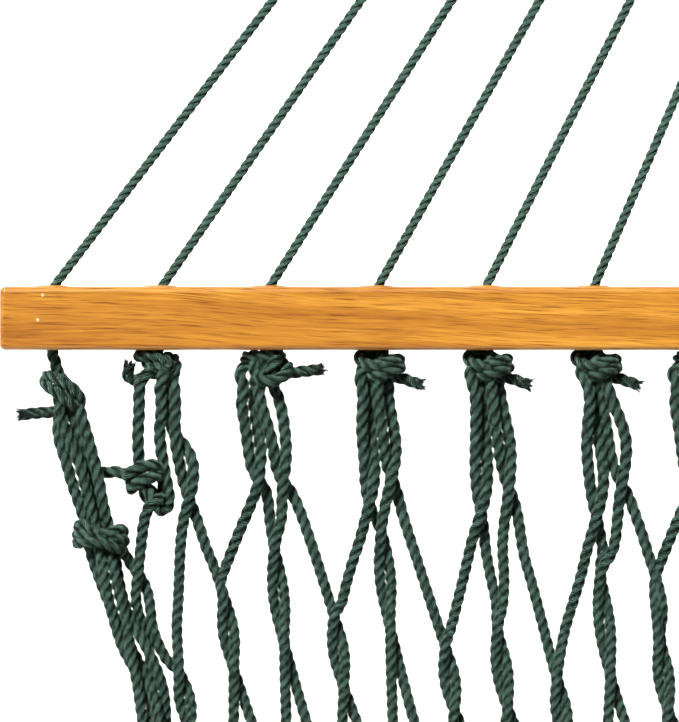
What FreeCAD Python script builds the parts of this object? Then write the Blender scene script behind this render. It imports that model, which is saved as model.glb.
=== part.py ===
"""Rope hammock with oak spreader bars, hung in a steel tube stand.

Units are millimetres. +X runs along the hammock, +Y across it and +Z up. The origin is on the floor under the
middle. The two ends are the same parts turned half a turn about Z.

Each end has a frame of its own, in which its pieces are modelled: the origin is the hole of the stand's hanger
plate, x runs down the line of pull towards the bed, y across the bed and z up, square to the cords.
"""

import os
from math import asin, atan2, cos, degrees, hypot, pi, radians, sin, tan

import FreeCAD
import Part
from FreeCAD import Vector

# Driving dimensions: hammock
BED_LENGTH = 2134.0  # between the two bars, along the bed
BED_SLOPE = radians(23.0)  # of the bed and of the cords where they meet the bar
BED_MIDDLE_Z = 500.0  # height of the middle of the bed
BED_THICK = 8.0
WAIST_INSET = 155.0  # how far each long edge of the bed draws in at its middle
BAR_LENGTH = 1397.0
BAR_WIDTH = 34.0  # along the holes
BAR_THICK = 25.0
BAR_ROUND = 3.0
HOLE_COUNT = 24
HOLE_END = 27.5  # bar end to the first hole
HOLE_R = 4.0
MOUTH_R = 8.2  # countersink where a cord leaves its hole at an angle
MOUTH_DEPTH = 6.0
LIP_R = 9.0  # low rim that stands round each mouth
LIP_RISE = 0.8
CORD_BEND_IN = 5.0  # where a cord bends from its hole to the ring, inside the bar's outer face
CORD_BEND_REACH = 4.5  # how far that bend runs to either side
CLEW_REACH = 914.0  # inner face of the bar to the outer end of the ring
CORD_R = 2.5
RING_R = 32.5  # to the middle of the ring's wire
RING_WIRE_R = 4.5
RING_SPREAD = radians(132.0)  # how much of the ring the cord loops cover
RING_LEAVE = 8.0  # how far a loop's leg runs straight off the ring before it turns to its hole
RING_ROOM = 0.2  # between the ring and the cords over it
CORNER_SHARE = 0.45  # of a short run that the arc at its end takes up

KNOT_WIDE = 22.0
KNOT_TALL = 19.0
KNOT_DEEP = 17.0
KNOT_ROUND = 6.0
KNOT_GAP = 0.1  # between the bar and the knots drawn up under it
END_KNOT_DROP = 15.0  # the first and the last cord run on this far before their knot
TAIL_R = 2.4
TAIL_REACH = 27.0  # from the middle of a knot
TAIL_LOW = 2.0  # a tail leaves its knot this far below the middle
LOOPS_END = 90.0  # where the loops under the bar go over into the net
LOOPS_START_WIDE = 17.6
LOOPS_END_WIDE = 46.0
NET_GAP = 0.5  # between the net and the pieces it meets
NET_TO_EDGE = 1.0  # between the net and the edge ropes
DRIFT_POWER = 5  # how fast the inward drift beside the bar dies away from the bed's edge
EDGE_ROPE_R = 8.0  # bundle of parallel ropes along the edge of the net
EDGE_RUNS = 12  # straight runs it is drawn with, joined by arcs
WRAP_AT = 100.0  # the wrapping knot round the edge bundle, from the bar
WRAP_LONG = 16.0
WRAP_R = 13.0
WRAP_ROUND = 3.0
WRAP_EASE = 2.3  # between the edge bundle and the wrapping knot round it
BRAD_R = 0.6
BRAD_HEAD_R = 0.9
BRAD_LENGTH = 18.0
BRAD_HEAD = 0.4
BRAD_PROUD = 0.05
BRAD_PLACES = ((4.5, -4.3), (17.8, -7.0))  # from the bar's outer face and from the first hole

# Driving dimensions: hanging hardware
PLATE_HALF = 3.0
PLATE_HOLE_R = 11.0
PLATE_FLARE = 2.5  # chamfer of the hole at both faces, so that the link can swing to the side
PLATE_EDGE = 8.0  # metal round the hole
PLATE_FOOT = 36.0  # half the plate's length along the upright
LINK_GAP = 0.3  # between metal pieces that hang in each other
QUICK_WIRE_R = 4.0
QUICK_LONG = 45.0
QUICK_WIDE = 22.0
QUICK_SEAT = 5.0  # from the middle of the plate's hole to the middle of the wire in it
SLEEVE_R = 6.5
SLEEVE_LONG = 16.0
SLEEVE_ROOM = 0.2  # at each end of the sleeve
THREAD_R = 3.5  # of the quick link's wire inside the sleeve
THREAD_ROOM = 0.05
CHAIN_WIRE_R = 3.0
CHAIN_LONG = 32.0
CHAIN_WIDE = 17.0
CHAIN_LINKS = 2
SNAP_WIRE_R = 4.0
SNAP_LONG = 80.0
SNAP_WIDE = 36.0
GATE_R = 3.5
GATE_LONG = 34.0
GATE_PIVOT = 20.3  # from the wire at the chain's end of the hook to the gate's pivot
GATE_GAP = 0.5
CHEEK_GAP = 0.3
CHEEK_THICK = 1.5
CHEEK_LONG = 13.0
CHEEK_TALL = 8.0
RIVET_R = 1.4
RIVET_HEAD_R = 2.4
RIVET_HEAD = 0.8
RIVET_ROOM = 0.02  # round the rivet in the cheeks
GATE_ROOM = 0.08  # round the rivet in the gate

# Driving dimensions: stand
TUBE_R = 30.0
TUBE_WALL = 2.5
SLIP = 0.3  # between a tube and the stub inside it
TUBE_GAP = 0.2  # between two tubes that meet end to end
TOUCH = 0.1  # between other pieces of the stand that rest on each other
FOOT_X = 1000.0
FOOT_LENGTH = 1150.0
SOLE = 4.0  # rubber under the foot tube
CAP_LONG = 50.0
CAP_END = 6.0
SOLE_WIDE = 46.0
TOP_CAP_TALL = 9.0
TOP_CAP_ROUND = 3.5
TOP_CAP_PLUG = 24.0
BEAM_CLEAR = 48.0  # from the foot tube's axis to the base beam's end
STUB_LONG = 210.0
COUPLER_LONG = 300.0
UPRIGHT_START = 60.0
UPRIGHT_PAST_HANGER = 110.0
HANGER_OFF = 50.0  # from the upright's axis to the hanger plate's hole
BOLT_IN = 40.0  # from the end of an inner tube to its bolt
BOLT_R = 5.0
BOLT_HOLE_R = 5.3
HEX_R = 9.4
HEAD_TALL = 6.4
NUT_TALL = 8.4
BOLT_PAST_NUT = 4.0
WASHER_R = 10.5
WASHER_THICK = 2.0

ORIGIN = Vector(0, 0, 0)
X_AXIS = Vector(1, 0, 0)
Y_AXIS = Vector(0, 1, 0)
Z_AXIS = Vector(0, 0, 1)

# Worked out from the above
BED_RADIUS = (BED_LENGTH / 2) / BED_SLOPE
BAR_X = BED_RADIUS * sin(BED_SLOPE)
BAR_Z = BED_MIDDLE_Z + BED_RADIUS * (1 - cos(BED_SLOPE))
HOLE_PITCH = (BAR_LENGTH - 2 * HOLE_END) / (HOLE_COUNT - 1)

QUICK_END = QUICK_SEAT + QUICK_LONG
CHAIN_START = QUICK_END - QUICK_WIRE_R - CHAIN_WIRE_R - LINK_GAP
CHAIN_STEP = CHAIN_LONG - 2 * CHAIN_WIRE_R - LINK_GAP
CHAIN_END = CHAIN_START + (CHAIN_LINKS - 1) * CHAIN_STEP + CHAIN_LONG
SNAP_START = CHAIN_END - CHAIN_WIRE_R - SNAP_WIRE_R - LINK_GAP
SNAP_END = SNAP_START + SNAP_LONG
RING_MIDDLE = SNAP_END - SNAP_WIRE_R - RING_WIRE_R - LINK_GAP + RING_R
BAR_INNER = RING_MIDDLE - RING_R - RING_WIRE_R + CLEW_REACH  # inner face of the bar in an end's frame
BAR_OUTER = BAR_INNER - BAR_WIDTH

HANGER_X = BAR_X + BAR_INNER * cos(BED_SLOPE)
HANGER_Z = BAR_Z + BAR_INNER * sin(BED_SLOPE)
FOOT_Z = TUBE_R + SOLE
REACH = hypot(HANGER_X - FOOT_X, HANGER_Z - FOOT_Z)
LEAN = atan2(HANGER_Z - FOOT_Z, HANGER_X - FOOT_X) - asin(HANGER_OFF / REACH)
UPRIGHT_LONG = REACH * cos(asin(HANGER_OFF / REACH)) + UPRIGHT_PAST_HANGER
LEAN_DIR = Vector(cos(LEAN), 0, sin(LEAN))
FOOT_POINT = Vector(FOOT_X, 0, FOOT_Z)
STUB_R = TUBE_R - TUBE_WALL - SLIP


def rod(start, end, radius):
    """A solid round bar between two points."""
    along = end - start
    return Part.makeCylinder(radius, along.Length, start, along)


def tube(start, end, radius, wall=TUBE_WALL):
    """An open round tube between two points."""
    return rod(start, end, radius).cut(rod(start, end, radius - wall))


def block(low, high):
    """A box between two corners."""
    size = high - low
    return Part.makeBox(size.x, size.y, size.z, low)


def rounded(shape, radius):
    """The shape with all its edges rounded."""
    return shape.makeFillet(radius, shape.Edges)


def hexagon(start, direction, radius, tall):
    """A hexagonal prism, across its corners twice the radius."""
    corners = [Vector(radius * cos(i * pi / 3), radius * sin(i * pi / 3), 0) for i in range(7)]
    prism = Part.Face(Part.makePolygon(corners)).extrude(Vector(0, 0, tall))
    prism.Placement = FreeCAD.Placement(start, FreeCAD.Rotation(Z_AXIS, direction))
    return prism


def at_end(shape, end):
    """Takes a shape from an end's frame to its place: end 1 is at +X, end 2 at -X."""
    placed = shape.copy()
    placed.rotate(ORIGIN, Z_AXIS, 180)
    placed.rotate(ORIGIN, Y_AXIS, -degrees(BED_SLOPE))
    placed.translate(Vector(HANGER_X, 0, HANGER_Z))
    return turned(placed, end)


def turned(shape, end):
    """Turns a shape made for end 1 to the end asked for."""
    placed = shape.copy()
    if end == 2:
        placed.rotate(ORIGIN, Z_AXIS, 180)
    return placed


def bent_edges(points, reaches):
    """Straight runs through the points, with an arc at each corner that starts at the reach given for it."""
    edges = []
    last = points[0]
    for corner, after, reach in zip(points[1:], points[2:], reaches):
        into = (corner - last).normalize()
        out = (after - corner).normalize()
        bend = reach / tan(into.getAngle(out) / 2)
        first = corner - into * reach
        second = corner + out * reach
        middle = corner + (out - into).normalize() * (hypot(reach, bend) - bend)
        edges.append(Part.LineSegment(last, first).toShape())
        edges.append(Part.Arc(first, middle, second).toShape())
        last = second
    edges.append(Part.LineSegment(last, points[-1]).toShape())
    return edges


def swept(path, radius, start, direction):
    """A round rope of the radius along a wire that begins at start in the direction given."""
    profile = Part.Wire([Part.makeCircle(radius, start, direction)])
    return Part.Solid(path.makePipeShell([profile], True, True))


def ring_link(start, long, wide, radius, flat):
    """A chain link whose wire runs from start to start + long. A flat link lies across the bed, and one that isn't
    stands up."""
    half = wide / 2
    straight = long - wide
    bends = []
    for middle, side in ((start + half, 180), (start + half + straight, 0)):
        torus = Part.makeTorus(half, radius, ORIGIN, Z_AXIS, -180, 180, 180)
        torus.rotate(ORIGIN, Z_AXIS, side - 90)
        torus.translate(Vector(middle, 0, 0))
        bends.append(torus)
    for y in (-half, half):
        bends.append(rod(Vector(start + half, y, 0), Vector(start + half + straight, y, 0), radius))
    link = bends[0].multiFuse(bends[1:])
    if not flat:
        link.rotate(ORIGIN, X_AXIS, 90)
    return link


# Stand


def cross_foot():
    """The foot tube with its two welded stubs, one for the base beam and one for the upright."""
    half = Vector(0, FOOT_LENGTH / 2, 0)
    foot = rod(FOOT_POINT - half, FOOT_POINT + half, TUBE_R)
    beam_stub = rod(FOOT_POINT, FOOT_POINT - X_AXIS * STUB_LONG, STUB_R)
    beam_collar = rod(FOOT_POINT, FOOT_POINT - X_AXIS * (BEAM_CLEAR - TUBE_GAP), TUBE_R)
    upright_stub = rod(FOOT_POINT, FOOT_POINT + LEAN_DIR * (UPRIGHT_START + STUB_LONG), STUB_R)
    upright_collar = rod(FOOT_POINT, FOOT_POINT + LEAN_DIR * (UPRIGHT_START - TUBE_GAP), TUBE_R)
    solid = foot.multiFuse([beam_stub, beam_collar, upright_stub, upright_collar])
    stub_bore_r = STUB_R - TUBE_WALL
    upright_stub_end = FOOT_POINT + LEAN_DIR * (UPRIGHT_START + STUB_LONG)
    bores = [
        rod(FOOT_POINT - half, FOOT_POINT + half, TUBE_R - TUBE_WALL),
        rod(FOOT_POINT - X_AXIS * TUBE_R, FOOT_POINT - X_AXIS * STUB_LONG, stub_bore_r),
        rod(FOOT_POINT + LEAN_DIR * TUBE_R, upright_stub_end, stub_bore_r),
    ]
    return solid.cut(bores).cut(bolt_holes(FOOT_BOLTS))


def base_beam():
    """One half of the base beam, from the middle to the foot."""
    beam = tube(Vector(TUBE_GAP, 0, FOOT_Z), Vector(FOOT_X - BEAM_CLEAR, 0, FOOT_Z), TUBE_R)
    return beam.cut(bolt_holes(FOOT_BOLTS + COUPLER_BOLTS))


def base_coupler():
    """The sleeve inside the two halves of the base beam."""
    half = Vector(COUPLER_LONG / 2, 0, 0)
    middle = Vector(0, 0, FOOT_Z)
    sleeve = tube(middle - half, middle + half, STUB_R)
    other_half = [Vector(-place.x, place.y, place.z) for place in COUPLER_BOLTS]
    return sleeve.cut(bolt_holes(COUPLER_BOLTS + other_half))


def upright():
    """The leaning tube with the welded hanger plate near its top."""
    top = FOOT_POINT + LEAN_DIR * UPRIGHT_LONG
    post = tube(FOOT_POINT + LEAN_DIR * UPRIGHT_START, top, TUBE_R)
    inside = rod(FOOT_POINT, top, TUBE_R - TUBE_WALL / 2)
    return post.fuse(hanger_plate().cut(inside)).cut(bolt_holes(UPRIGHT_BOLTS))


def hanger_plate():
    """The plate with the hole that the hammock hangs in, long enough to sink into the upright's wall."""
    hole = Vector(HANGER_X, 0, HANGER_Z)
    round_r = PLATE_HOLE_R + PLATE_EDGE
    to_upright = Vector(sin(LEAN), 0, -cos(LEAN))
    sink = to_upright * (HANGER_OFF - TUBE_R + TUBE_WALL / 2)
    start = hole - Y_AXIS * PLATE_HALF
    disc = Part.makeCylinder(round_r, 2 * PLATE_HALF, start, Y_AXIS)
    corners = [
        start + LEAN_DIR * round_r,
        start + LEAN_DIR * PLATE_FOOT + sink,
        start - LEAN_DIR * PLATE_FOOT + sink,
        start - LEAN_DIR * round_r,
    ]
    web = Part.Face(Part.makePolygon(corners + corners[:1])).extrude(Y_AXIS * (2 * PLATE_HALF))
    bore = Part.makeCylinder(PLATE_HOLE_R, 2 * PLATE_HALF, start, Y_AXIS)
    flares = []
    for side in (-1, 1):
        face = hole + Y_AXIS * (side * PLATE_HALF)
        wide_r = PLATE_HOLE_R + PLATE_FLARE
        flares.append(Part.makeCone(wide_r, PLATE_HOLE_R, PLATE_FLARE, face, Y_AXIS * -side))
    return disc.fuse(web).cut([bore] + flares)


def upright_cap():
    """The plastic plug with a domed head that closes an upright's top."""
    top = FOOT_POINT + LEAN_DIR * (UPRIGHT_LONG + TOUCH)
    head = rounded(Part.makeCylinder(TUBE_R, TOP_CAP_TALL, top, LEAN_DIR), TOP_CAP_ROUND)
    plug_start = top - LEAN_DIR * TOP_CAP_PLUG
    plug = rod(plug_start, top + LEAN_DIR * (TOP_CAP_TALL / 2), TUBE_R - TUBE_WALL - TUBE_GAP)
    return head.fuse(plug)


def foot_cap(side):
    """The rubber cup over one end of a foot tube, with a flat sole."""
    end = FOOT_POINT + Y_AXIS * (side * FOOT_LENGTH / 2)
    outer_end = end + Y_AXIS * (side * CAP_END)
    inner_end = outer_end - Y_AXIS * (side * CAP_LONG)
    cup = rod(inner_end, outer_end, TUBE_R + SOLE)
    low_y = min(inner_end.y, outer_end.y)
    sole = block(
        Vector(FOOT_X - SOLE_WIDE / 2, low_y, 0),
        Vector(FOOT_X + SOLE_WIDE / 2, low_y + CAP_LONG, FOOT_Z / 2),
    )
    bore = rod(inner_end, end + Y_AXIS * (side * TOUCH), TUBE_R + TOUCH)
    return cup.fuse(sole).cut(bore)


def bolt_holes(places):
    """Cross holes along Y through the tubes at the places given."""
    half = Y_AXIS * (TUBE_R + TUBE_WALL)
    return Part.makeCompound([rod(place - half, place + half, BOLT_HOLE_R) for place in places])


def bolt(place):
    """A hex bolt along Y through a tube, its head and that side's washer in one piece on the +Y side."""
    face = TUBE_R + TOUCH
    head_face = place + Y_AXIS * face
    shank = rod(place - Y_AXIS * (face + WASHER_THICK + NUT_TALL + BOLT_PAST_NUT), head_face, BOLT_R)
    washer = rod(head_face, head_face + Y_AXIS * WASHER_THICK, WASHER_R)
    head = hexagon(head_face + Y_AXIS * WASHER_THICK, Y_AXIS, HEX_R, HEAD_TALL)
    return shank.multiFuse([washer, head])


def nut(place):
    """The washer and nut on a bolt's far end."""
    face = place - Y_AXIS * (TUBE_R + TOUCH)
    washer = rod(face, face - Y_AXIS * WASHER_THICK, WASHER_R)
    body = hexagon(face - Y_AXIS * WASHER_THICK, -Y_AXIS, HEX_R, NUT_TALL)
    bore = rod(face, face - Y_AXIS * (WASHER_THICK + NUT_TALL), BOLT_R + THREAD_ROOM)
    return washer.fuse(body).cut(bore)


FOOT_BOLTS = [
    FOOT_POINT - X_AXIS * (STUB_LONG - BOLT_IN),
    FOOT_POINT + LEAN_DIR * (UPRIGHT_START + STUB_LONG - BOLT_IN),
]
COUPLER_BOLTS = [Vector(COUPLER_LONG / 2 - BOLT_IN, 0, FOOT_Z)]
UPRIGHT_BOLTS = FOOT_BOLTS[1:]
STAND_BOLTS = FOOT_BOLTS + COUPLER_BOLTS


def at_bolt_places(make):
    """A piece modelled for one bolt's place, at all of the stand's bolts."""
    return Part.makeCompound([turned(make(place), end) for place in STAND_BOLTS for end in (1, 2)])


# Hanging hardware, in an end's frame


def quick_link():
    """The oval link through the hanger plate, thinner where the sleeve nut goes round one side."""
    link = ring_link(QUICK_SEAT, QUICK_LONG, QUICK_WIDE, QUICK_WIRE_R, flat=True)
    start, end = sleeve_ends(SLEEVE_LONG)
    return link.cut(rod(start, end, SLEEVE_R)).fuse(rod(start, end, THREAD_R))


def sleeve_ends(long):
    """The two ends of a length in the middle of the quick link's +y side."""
    middle = QUICK_SEAT + QUICK_LONG / 2
    side = QUICK_WIDE / 2
    return Vector(middle - long / 2, side, 0), Vector(middle + long / 2, side, 0)


def quick_sleeve():
    """The hexagonal sleeve nut that closes the quick link."""
    long = SLEEVE_LONG - 2 * SLEEVE_ROOM
    start, end = sleeve_ends(long)
    body = hexagon(start, X_AXIS, SLEEVE_R, long)
    return body.cut(rod(start, end, THREAD_R + THREAD_ROOM))


def chain():
    """The links between the quick link and the snap hook, each a quarter turn from the last."""
    links = []
    for i in range(CHAIN_LINKS):
        start = CHAIN_START + i * CHAIN_STEP
        links.append(ring_link(start, CHAIN_LONG, CHAIN_WIDE, CHAIN_WIRE_R, flat=i % 2 == 1))
    return Part.makeCompound(links)


GATE_X = SNAP_START + GATE_PIVOT
GATE_POINT = Vector(GATE_X, 0, SNAP_WIDE / 2)
GATE_END_X = GATE_X + GATE_LONG


def snap_hook():
    """The hook's bent wire, open where the gate lies, with two cheeks that hold the gate's rivet."""
    wire = ring_link(SNAP_START, SNAP_LONG, SNAP_WIDE, SNAP_WIRE_R, flat=False)
    room = 2 * SNAP_WIRE_R
    gap = block(
        Vector(GATE_X, -room, SNAP_WIDE / 2 - room),
        Vector(GATE_END_X + GATE_GAP, room, SNAP_WIDE / 2 + room),
    )
    turning = Part.makeCylinder(
        GATE_R + GATE_GAP, 2 * room, GATE_POINT - Y_AXIS * room, Y_AXIS
    )
    wire = wire.cut([gap, turning])
    back = GATE_X - CHEEK_LONG + CHEEK_TALL / 2
    low_z = SNAP_WIDE / 2 - CHEEK_TALL / 2
    high_z = SNAP_WIDE / 2 + CHEEK_TALL / 2
    cheeks = []
    for side in (-1, 1):
        inner = side * (GATE_R + CHEEK_GAP)
        outer = side * (GATE_R + CHEEK_GAP + CHEEK_THICK)
        cheek = block(Vector(back, min(inner, outer), low_z), Vector(GATE_X, max(inner, outer), high_z))
        start = Vector(GATE_X, min(inner, outer), SNAP_WIDE / 2)
        nose = Part.makeCylinder(CHEEK_TALL / 2, CHEEK_THICK, start, Y_AXIS)
        cheeks.append(cheek.fuse(nose))
    bridge = block(
        Vector(back, -GATE_R - CHEEK_GAP, low_z),
        Vector(GATE_X - GATE_R - GATE_GAP, GATE_R + CHEEK_GAP, high_z),
    )
    bore = rod(GATE_POINT - Y_AXIS * room, GATE_POINT + Y_AXIS * room, RIVET_R + RIVET_ROOM)
    return wire.multiFuse(cheeks + [bridge]).cut(bore)


def snap_gate():
    """The sprung gate: a straight bar with a round root on the rivet."""
    bar = rod(GATE_POINT, Vector(GATE_END_X, 0, SNAP_WIDE / 2), GATE_R)
    root = Part.makeCylinder(GATE_R, 2 * GATE_R, GATE_POINT - Y_AXIS * GATE_R, Y_AXIS)
    bore = rod(GATE_POINT - Y_AXIS * GATE_R, GATE_POINT + Y_AXIS * GATE_R, RIVET_R + GATE_ROOM)
    return bar.fuse(root).cut(bore)


def gate_rivet():
    """The rivet through the cheeks and the gate, with a head on each side."""
    half = GATE_R + CHEEK_GAP + CHEEK_THICK + THREAD_ROOM
    pin = rod(GATE_POINT - Y_AXIS * half, GATE_POINT + Y_AXIS * half, RIVET_R)
    heads = []
    for side in (-1, 1):
        face = GATE_POINT + Y_AXIS * (side * half)
        heads.append(rod(face, face + Y_AXIS * (side * RIVET_HEAD), RIVET_HEAD_R))
    return pin.multiFuse(heads)


def o_ring():
    """The ring that gathers one end's cords."""
    return Part.makeTorus(RING_R, RING_WIRE_R, Vector(RING_MIDDLE, 0, 0), Z_AXIS)


# Hammock, in an end's frame


def hole_y(index):
    """Where hole 0 to HOLE_COUNT - 1 lies across the bed."""
    return (index - (HOLE_COUNT - 1) / 2) * HOLE_PITCH


def knot_drop(index):
    """How far below the bar the knot of a hole begins."""
    return END_KNOT_DROP if index in (0, HOLE_COUNT - 1) else KNOT_GAP


def spreader_bar():
    """The oak bar, its edges rounded, with a hole for each cord and a low rim round each mouth."""
    bar = rounded(
        block(
            Vector(BAR_OUTER, -BAR_LENGTH / 2, -BAR_THICK / 2),
            Vector(BAR_INNER, BAR_LENGTH / 2, BAR_THICK / 2),
        ),
        BAR_ROUND,
    )
    rims = []
    bores = []
    for index in range(HOLE_COUNT):
        y = hole_y(index)
        top = Vector(BAR_OUTER, y, 0)
        rims.append(Part.makeCone(LIP_R, LIP_R - LIP_RISE, LIP_RISE, top, -X_AXIS))
        bores.append(rod(top - X_AXIS * LIP_RISE, top + X_AXIS * BAR_WIDTH, HOLE_R))
        deep = top + X_AXIS * MOUTH_DEPTH
        bores.append(Part.makeCone(HOLE_R, MOUTH_R, MOUTH_DEPTH + LIP_RISE, deep, -X_AXIS))
    brads = Part.makeCompound(bar_brads())
    return bar.multiFuse(rims).cut(bores).cut(brads)


def bar_brads():
    """Small brads driven into the bar's upper face by its first and last holes."""
    brads = []
    for depth, off in BRAD_PLACES:
        for side in (-1, 1):
            y = side * (-hole_y(0) - off)
            top = Vector(BAR_OUTER + depth, y, BAR_THICK / 2 + BRAD_PROUD)
            shank = rod(top, top - Z_AXIS * BRAD_LENGTH, BRAD_R)
            head = rod(top - Z_AXIS * BRAD_HEAD, top, BRAD_HEAD_R)
            brads.append(shank.fuse(head))
    return brads


def clew_loop(loop):
    """One cord and its length: up through a hole, over the ring and back down through the next hole."""
    angle = (loop / (HOLE_COUNT / 2 - 1) - 0.5) * RING_SPREAD
    out = Vector(cos(angle), sin(angle), 0)
    wire = Vector(RING_MIDDLE, 0, 0) + out * RING_R
    round_r = RING_WIRE_R + CORD_R + RING_ROOM
    legs = []
    for index, side in ((2 * loop, 1), (2 * loop + 1, -1)):
        foot = Vector(BAR_INNER + knot_drop(index), hole_y(index), 0)
        mouth = Vector(BAR_OUTER + CORD_BEND_IN, hole_y(index), 0)
        beside_ring = wire + Z_AXIS * (side * round_r)
        legs.append([foot, mouth, beside_ring + out * RING_LEAVE, beside_ring])
    reaches = (CORD_BEND_REACH, CORNER_SHARE * RING_LEAVE)
    over_ring = Part.Arc(legs[0][-1], wire - out * round_r, legs[1][-1]).toShape()
    edges = bent_edges(legs[0], reaches) + [over_ring] + bent_edges(legs[1], reaches)[::-1]
    path = Part.Wire(Part.__sortEdges__(edges))
    return swept(path, CORD_R, legs[0][0], -X_AXIS), path.Length


def clew_cords():
    """All the cords of one end."""
    loops = [clew_loop(loop) for loop in range(HOLE_COUNT // 2)]
    print("length of one end's cords", round(sum(length for _, length in loops)))
    return Part.makeCompound([solid for solid, _ in loops])


def bar_knots():
    """The knots under one bar, each with its cut tail out to one side."""
    knots = []
    for index in range(HOLE_COUNT):
        low = BAR_INNER + knot_drop(index)
        y = hole_y(index)
        body = rounded(
            block(
                Vector(low, y - KNOT_WIDE / 2, -KNOT_DEEP / 2),
                Vector(low + KNOT_TALL, y + KNOT_WIDE / 2, KNOT_DEEP / 2),
            ),
            KNOT_ROUND,
        )
        side = -1 if index < 2 else 1
        middle = Vector(low + KNOT_TALL / 2 + TAIL_LOW, y, 0)
        tail = rod(middle, middle + Y_AXIS * (side * TAIL_REACH), TAIL_R)
        knots.append(body.fuse(tail))
    return Part.makeCompound(knots)


def end_loops():
    """The loops of net rope that fan out from each knot, a flat wedge for each hole but the outermost two."""
    wedges = []
    start = BAR_INNER + KNOT_TALL + 2 * KNOT_GAP
    end = BAR_INNER + LOOPS_END
    half_start = LOOPS_START_WIDE / 2
    half_end = LOOPS_END_WIDE / 2
    for index in range(1, HOLE_COUNT - 1):
        y = hole_y(index)
        share = abs(y) / hole_y(HOLE_COUNT - 1)
        drift = bed_edge_shift(LOOPS_END) * share**DRIFT_POWER
        middle = y - drift if y > 0 else y + drift
        corners = [
            Vector(start, y - half_start, -BED_THICK / 2),
            Vector(start, y + half_start, -BED_THICK / 2),
            Vector(end, middle + half_end, -BED_THICK / 2),
            Vector(end, middle - half_end, -BED_THICK / 2),
        ]
        face = Part.Face(Part.makePolygon(corners + corners[:1]))
        wedges.append(face.extrude(Z_AXIS * BED_THICK))
    return Part.makeCompound(wedges)


def bed_edge_shift(from_bar):
    """How far the edge rope lies inside the outermost hole, at a distance from the bar along the bed."""
    along = 1 - from_bar / (BED_LENGTH / 2)
    return WAIST_INSET * (1 - along**2)


# Bed, in the object's frame


def bed_point(from_bar, y, lift=0.0):
    """A point of the bed at a distance from end 1's bar along the bed."""
    turn = BED_SLOPE - from_bar / BED_RADIUS
    radius = BED_RADIUS - lift
    return Vector(radius * sin(turn), y, BED_MIDDLE_Z + BED_RADIUS - radius * cos(turn))


def net_bed():
    """The net as a thin sheet that sags between the bars and draws in to a waist."""
    start = LOOPS_END + NET_GAP
    places = (start, BED_LENGTH / 2, BED_LENGTH - start)
    under = [bed_point(place, 0, -BED_THICK / 2) for place in places]
    over = [bed_point(place, 0, BED_THICK / 2) for place in places]
    profile = Part.Wire(
        [
            Part.Arc(*under).toShape(),
            Part.LineSegment(under[2], over[2]).toShape(),
            Part.Arc(*reversed(over)).toShape(),
            Part.LineSegment(over[0], under[0]).toShape(),
        ]
    )
    sheet = Part.Face(profile).extrude(Y_AXIS * BAR_LENGTH)
    sheet.translate(Y_AXIS * (-BAR_LENGTH / 2))
    outer_y = hole_y(HOLE_COUNT - 1) - EDGE_ROPE_R - NET_TO_EDGE
    waist = Vector(0, outer_y - WAIST_INSET, 0)
    corner = Vector(under[0].x + BED_THICK, outer_y - bed_edge_shift(start), 0)
    corners = [Vector(sx * corner.x, sy * corner.y, 0) for sx, sy in ((1, 1), (-1, 1), (-1, -1), (1, -1))]
    plan = Part.Wire(
        [
            Part.Arc(corners[0], waist, corners[1]).toShape(),
            Part.LineSegment(corners[1], corners[2]).toShape(),
            Part.Arc(corners[2], -waist, corners[3]).toShape(),
            Part.LineSegment(corners[3], corners[0]).toShape(),
        ]
    )
    notches = []
    for side in (-1, 1):
        first, last = wrap_ends(side)
        room = (last - first).normalize() * WRAP_EASE
        notch = rod(first - room, last + room, WRAP_R + NET_GAP)
        notches.extend([notch, turned(notch, 2)])
    return sheet.common(Part.Face(plan).extrude(Z_AXIS * 2 * BED_RADIUS)).cut(notches)


def edge_point(from_bar, side):
    """A point of an edge rope's middle line."""
    return bed_point(from_bar, side * (hole_y(HOLE_COUNT - 1) - bed_edge_shift(from_bar)))


def edge_rope(side):
    """The bundle of ropes along one long edge of the net, from knot to knot."""
    start = END_KNOT_DROP + KNOT_TALL + NET_TO_EDGE
    run = (BED_LENGTH - 2 * start) / EDGE_RUNS
    points = [edge_point(start + i * run, side) for i in range(EDGE_RUNS + 1)]
    path = Part.Wire(bent_edges(points, [CORNER_SHARE * run] * (EDGE_RUNS - 1)))
    print("edge rope", round(path.Length))
    return swept(path, EDGE_ROPE_R, points[0], points[1] - points[0])


def wrap_ends(side):
    """The two ends of the wrapping knot's middle line, along the edge rope."""
    return edge_point(WRAP_AT - WRAP_LONG / 2, side), edge_point(WRAP_AT + WRAP_LONG / 2, side)


def edge_wrap(side, end):
    """The wrapping knot round an edge bundle near a bar."""
    first, last = wrap_ends(side)
    wrap = rounded(rod(first, last, WRAP_R), WRAP_ROUND)
    return turned(wrap.cut(rod(first, last, EDGE_ROPE_R + WRAP_EASE)), end)


def both_ends(make):
    """A piece modelled in an end's frame, at both ends."""
    return Part.makeCompound([at_end(make(), 1), at_end(make(), 2)])


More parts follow.
